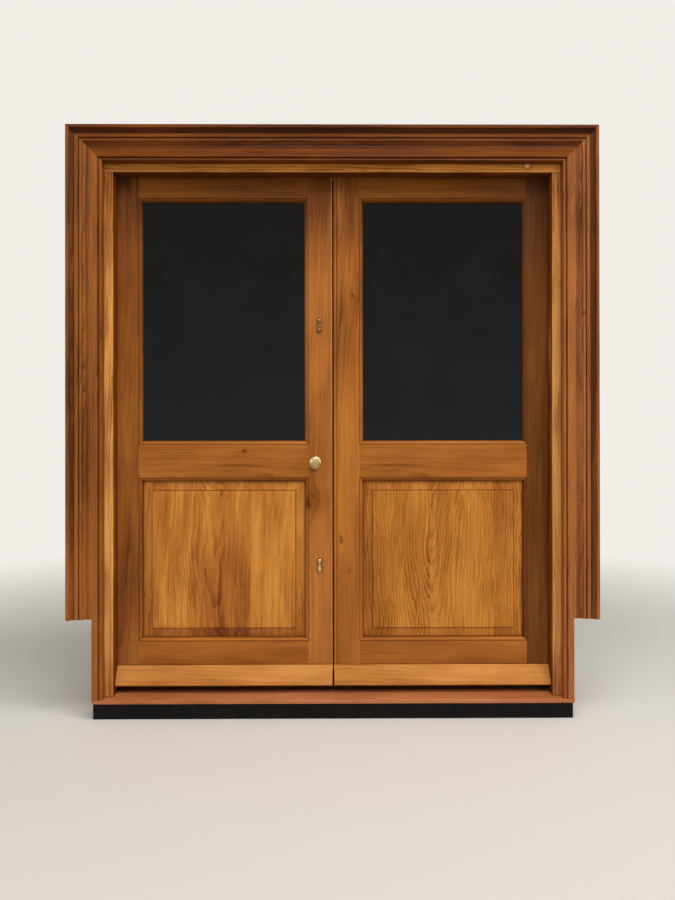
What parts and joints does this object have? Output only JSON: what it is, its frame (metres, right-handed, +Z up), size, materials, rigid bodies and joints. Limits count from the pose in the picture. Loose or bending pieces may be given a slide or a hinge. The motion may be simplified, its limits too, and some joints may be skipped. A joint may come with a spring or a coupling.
{
  "type": "french doors with frame",
  "caption": "Inward-opening half-glazed timber double doors with raised lower panels, weatherboards and brass furniture, in a frame with sill, base strip and mitred architrave.",
  "frame": {"origin": "underside of the base strip, at mid-width and mid-depth of the jambs", "axes": "+X to the right seen from outside, +Y inwards through the doorway, +Z up"},
  "size_m": [1.987, 0.201, 2.223],
  "materials": {
    "leaf_timber": "stained and varnished, satin",
    "panel_timber": "stained and varnished, satin",
    "weatherboard_timber": "stained and varnished, satin",
    "frame_timber": "stained and varnished, satin",
    "architrave_timber": "stained, darker, satin",
    "sill_timber": "stained, weathered",
    "black_paint": "gloss black paint over timber",
    "glass": "dark tinted, polished",
    "spacer": "satin",
    "seal": "matt",
    "plated_steel": "satin",
    "brass": "satin",
    "polished_brass": "polished",
    "aged_brass": "dull, aged",
    "bronze_bar": "dull"
  },
  "bodies": {
    "frame": {"base_strip": "black_paint", "flush_bolt_keeps": "brass", "frame_head": "frame_timber", "head_architrave": "architrave_timber", "head_seal": "seal", "hinge_pins": "plated_steel", "left_architrave": "architrave_timber", "left_frame_flaps": "plated_steel", "left_jamb": "frame_timber", "left_jamb_seal": "seal", "right_architrave": "architrave_timber", "right_frame_flaps": "plated_steel", "right_jamb": "frame_timber", "right_jamb_seal": "seal", "sill": "sill_timber", "water_bar": "bronze_bar"},
    "left_leaf": {"left_hinge_stile": "leaf_timber", "left_meeting_stile": "leaf_timber", "left_top_rail": "leaf_timber", "left_lock_rail": "leaf_timber", "left_bottom_rail": "leaf_timber", "left_panel": "panel_timber", "left_weatherboard": "weatherboard_timber", "left_glazing_beads": "leaf_timber", "left_outer_pane": "glass", "left_inner_pane": "glass", "left_spacer_bar": "spacer", "left_hinge_flaps": "plated_steel", "left_meeting_strip": "seal", "knob_roses": "polished_brass", "latch_case": "plated_steel", "deadlock_cases": "plated_steel", "upper_escutcheon": "aged_brass", "lower_escutcheon": "aged_brass", "inside_escutcheons": "aged_brass"},
    "right_leaf": {"right_hinge_stile": "leaf_timber", "right_meeting_stile": "leaf_timber", "right_top_rail": "leaf_timber", "right_lock_rail": "leaf_timber", "right_bottom_rail": "leaf_timber", "right_panel": "panel_timber", "right_weatherboard": "weatherboard_timber", "right_glazing_beads": "leaf_timber", "right_outer_pane": "glass", "right_inner_pane": "glass", "right_spacer_bar": "spacer", "right_hinge_flaps": "plated_steel", "right_meeting_strip": "seal", "lock_keeps": "brass", "flush_bolt_plates": "brass"},
    "knob_set": {"outside_knob": "polished_brass", "inside_knob": "polished_brass", "spindle": "plated_steel"},
    "latch_bolt": {"latch_bolt": "brass"},
    "upper_deadbolt": {"upper_deadbolt": "brass"},
    "lower_deadbolt": {"lower_deadbolt": "brass"},
    "upper_keyhole_cover": {"upper_keyhole_cover": "aged_brass"},
    "lower_keyhole_cover": {"lower_keyhole_cover": "polished_brass"},
    "top_flush_bolt": {"top_flush_bolt": "brass"},
    "bottom_flush_bolt": {"bottom_flush_bolt": "brass"}
  },
  "joints": [
    {"name": "left_leaf_swing", "type": "hinge", "parent": "frame", "child": "left_leaf", "pos_m": [-0.842, 0.0535, 1.0825], "axis": [0, 0, 1], "range_deg": [0, 110]},
    {"name": "right_leaf_swing", "type": "hinge", "parent": "frame", "child": "right_leaf", "pos_m": [0.842, 0.0535, 1.0825], "axis": [0, 0, -1], "range_deg": [0, 110]},
    {"name": "knob_turn", "type": "hinge", "parent": "left_leaf", "child": "knob_set", "pos_m": [-0.0675, 0.0255, 0.9635], "axis": [0, 1, 0], "range_deg": [0, 60]},
    {"name": "latch_slide", "type": "slide", "parent": "left_leaf", "child": "latch_bolt", "axis": [1, 0, 0], "range_m": [0, 0.011]},
    {"name": "upper_deadbolt_slide", "type": "slide", "parent": "left_leaf", "child": "upper_deadbolt", "axis": [1, 0, 0], "range_m": [0, 0.014]},
    {"name": "lower_deadbolt_slide", "type": "slide", "parent": "left_leaf", "child": "lower_deadbolt", "axis": [1, 0, 0], "range_m": [0, 0.014]},
    {"name": "upper_cover_swing", "type": "hinge", "parent": "left_leaf", "child": "upper_keyhole_cover", "pos_m": [-0.0525, 0, 1.509], "axis": [0, 1, 0], "range_deg": [-90, 90]},
    {"name": "lower_cover_swing", "type": "hinge", "parent": "left_leaf", "child": "lower_keyhole_cover", "pos_m": [-0.0525, 0, 0.585], "axis": [0, 1, 0], "range_deg": [-90, 90]},
    {"name": "top_flush_bolt_slide", "type": "slide", "parent": "right_leaf", "child": "top_flush_bolt", "axis": [0, 0, 1], "range_m": [0, 0.016]},
    {"name": "bottom_flush_bolt_slide", "type": "slide", "parent": "right_leaf", "child": "bottom_flush_bolt", "axis": [0, 0, -1], "range_m": [0, 0.016]}
  ],
  "couplings": [
    {"joint": "latch_slide", "follows": "knob_turn", "m_per_rad": 0.010504}
  ]
}
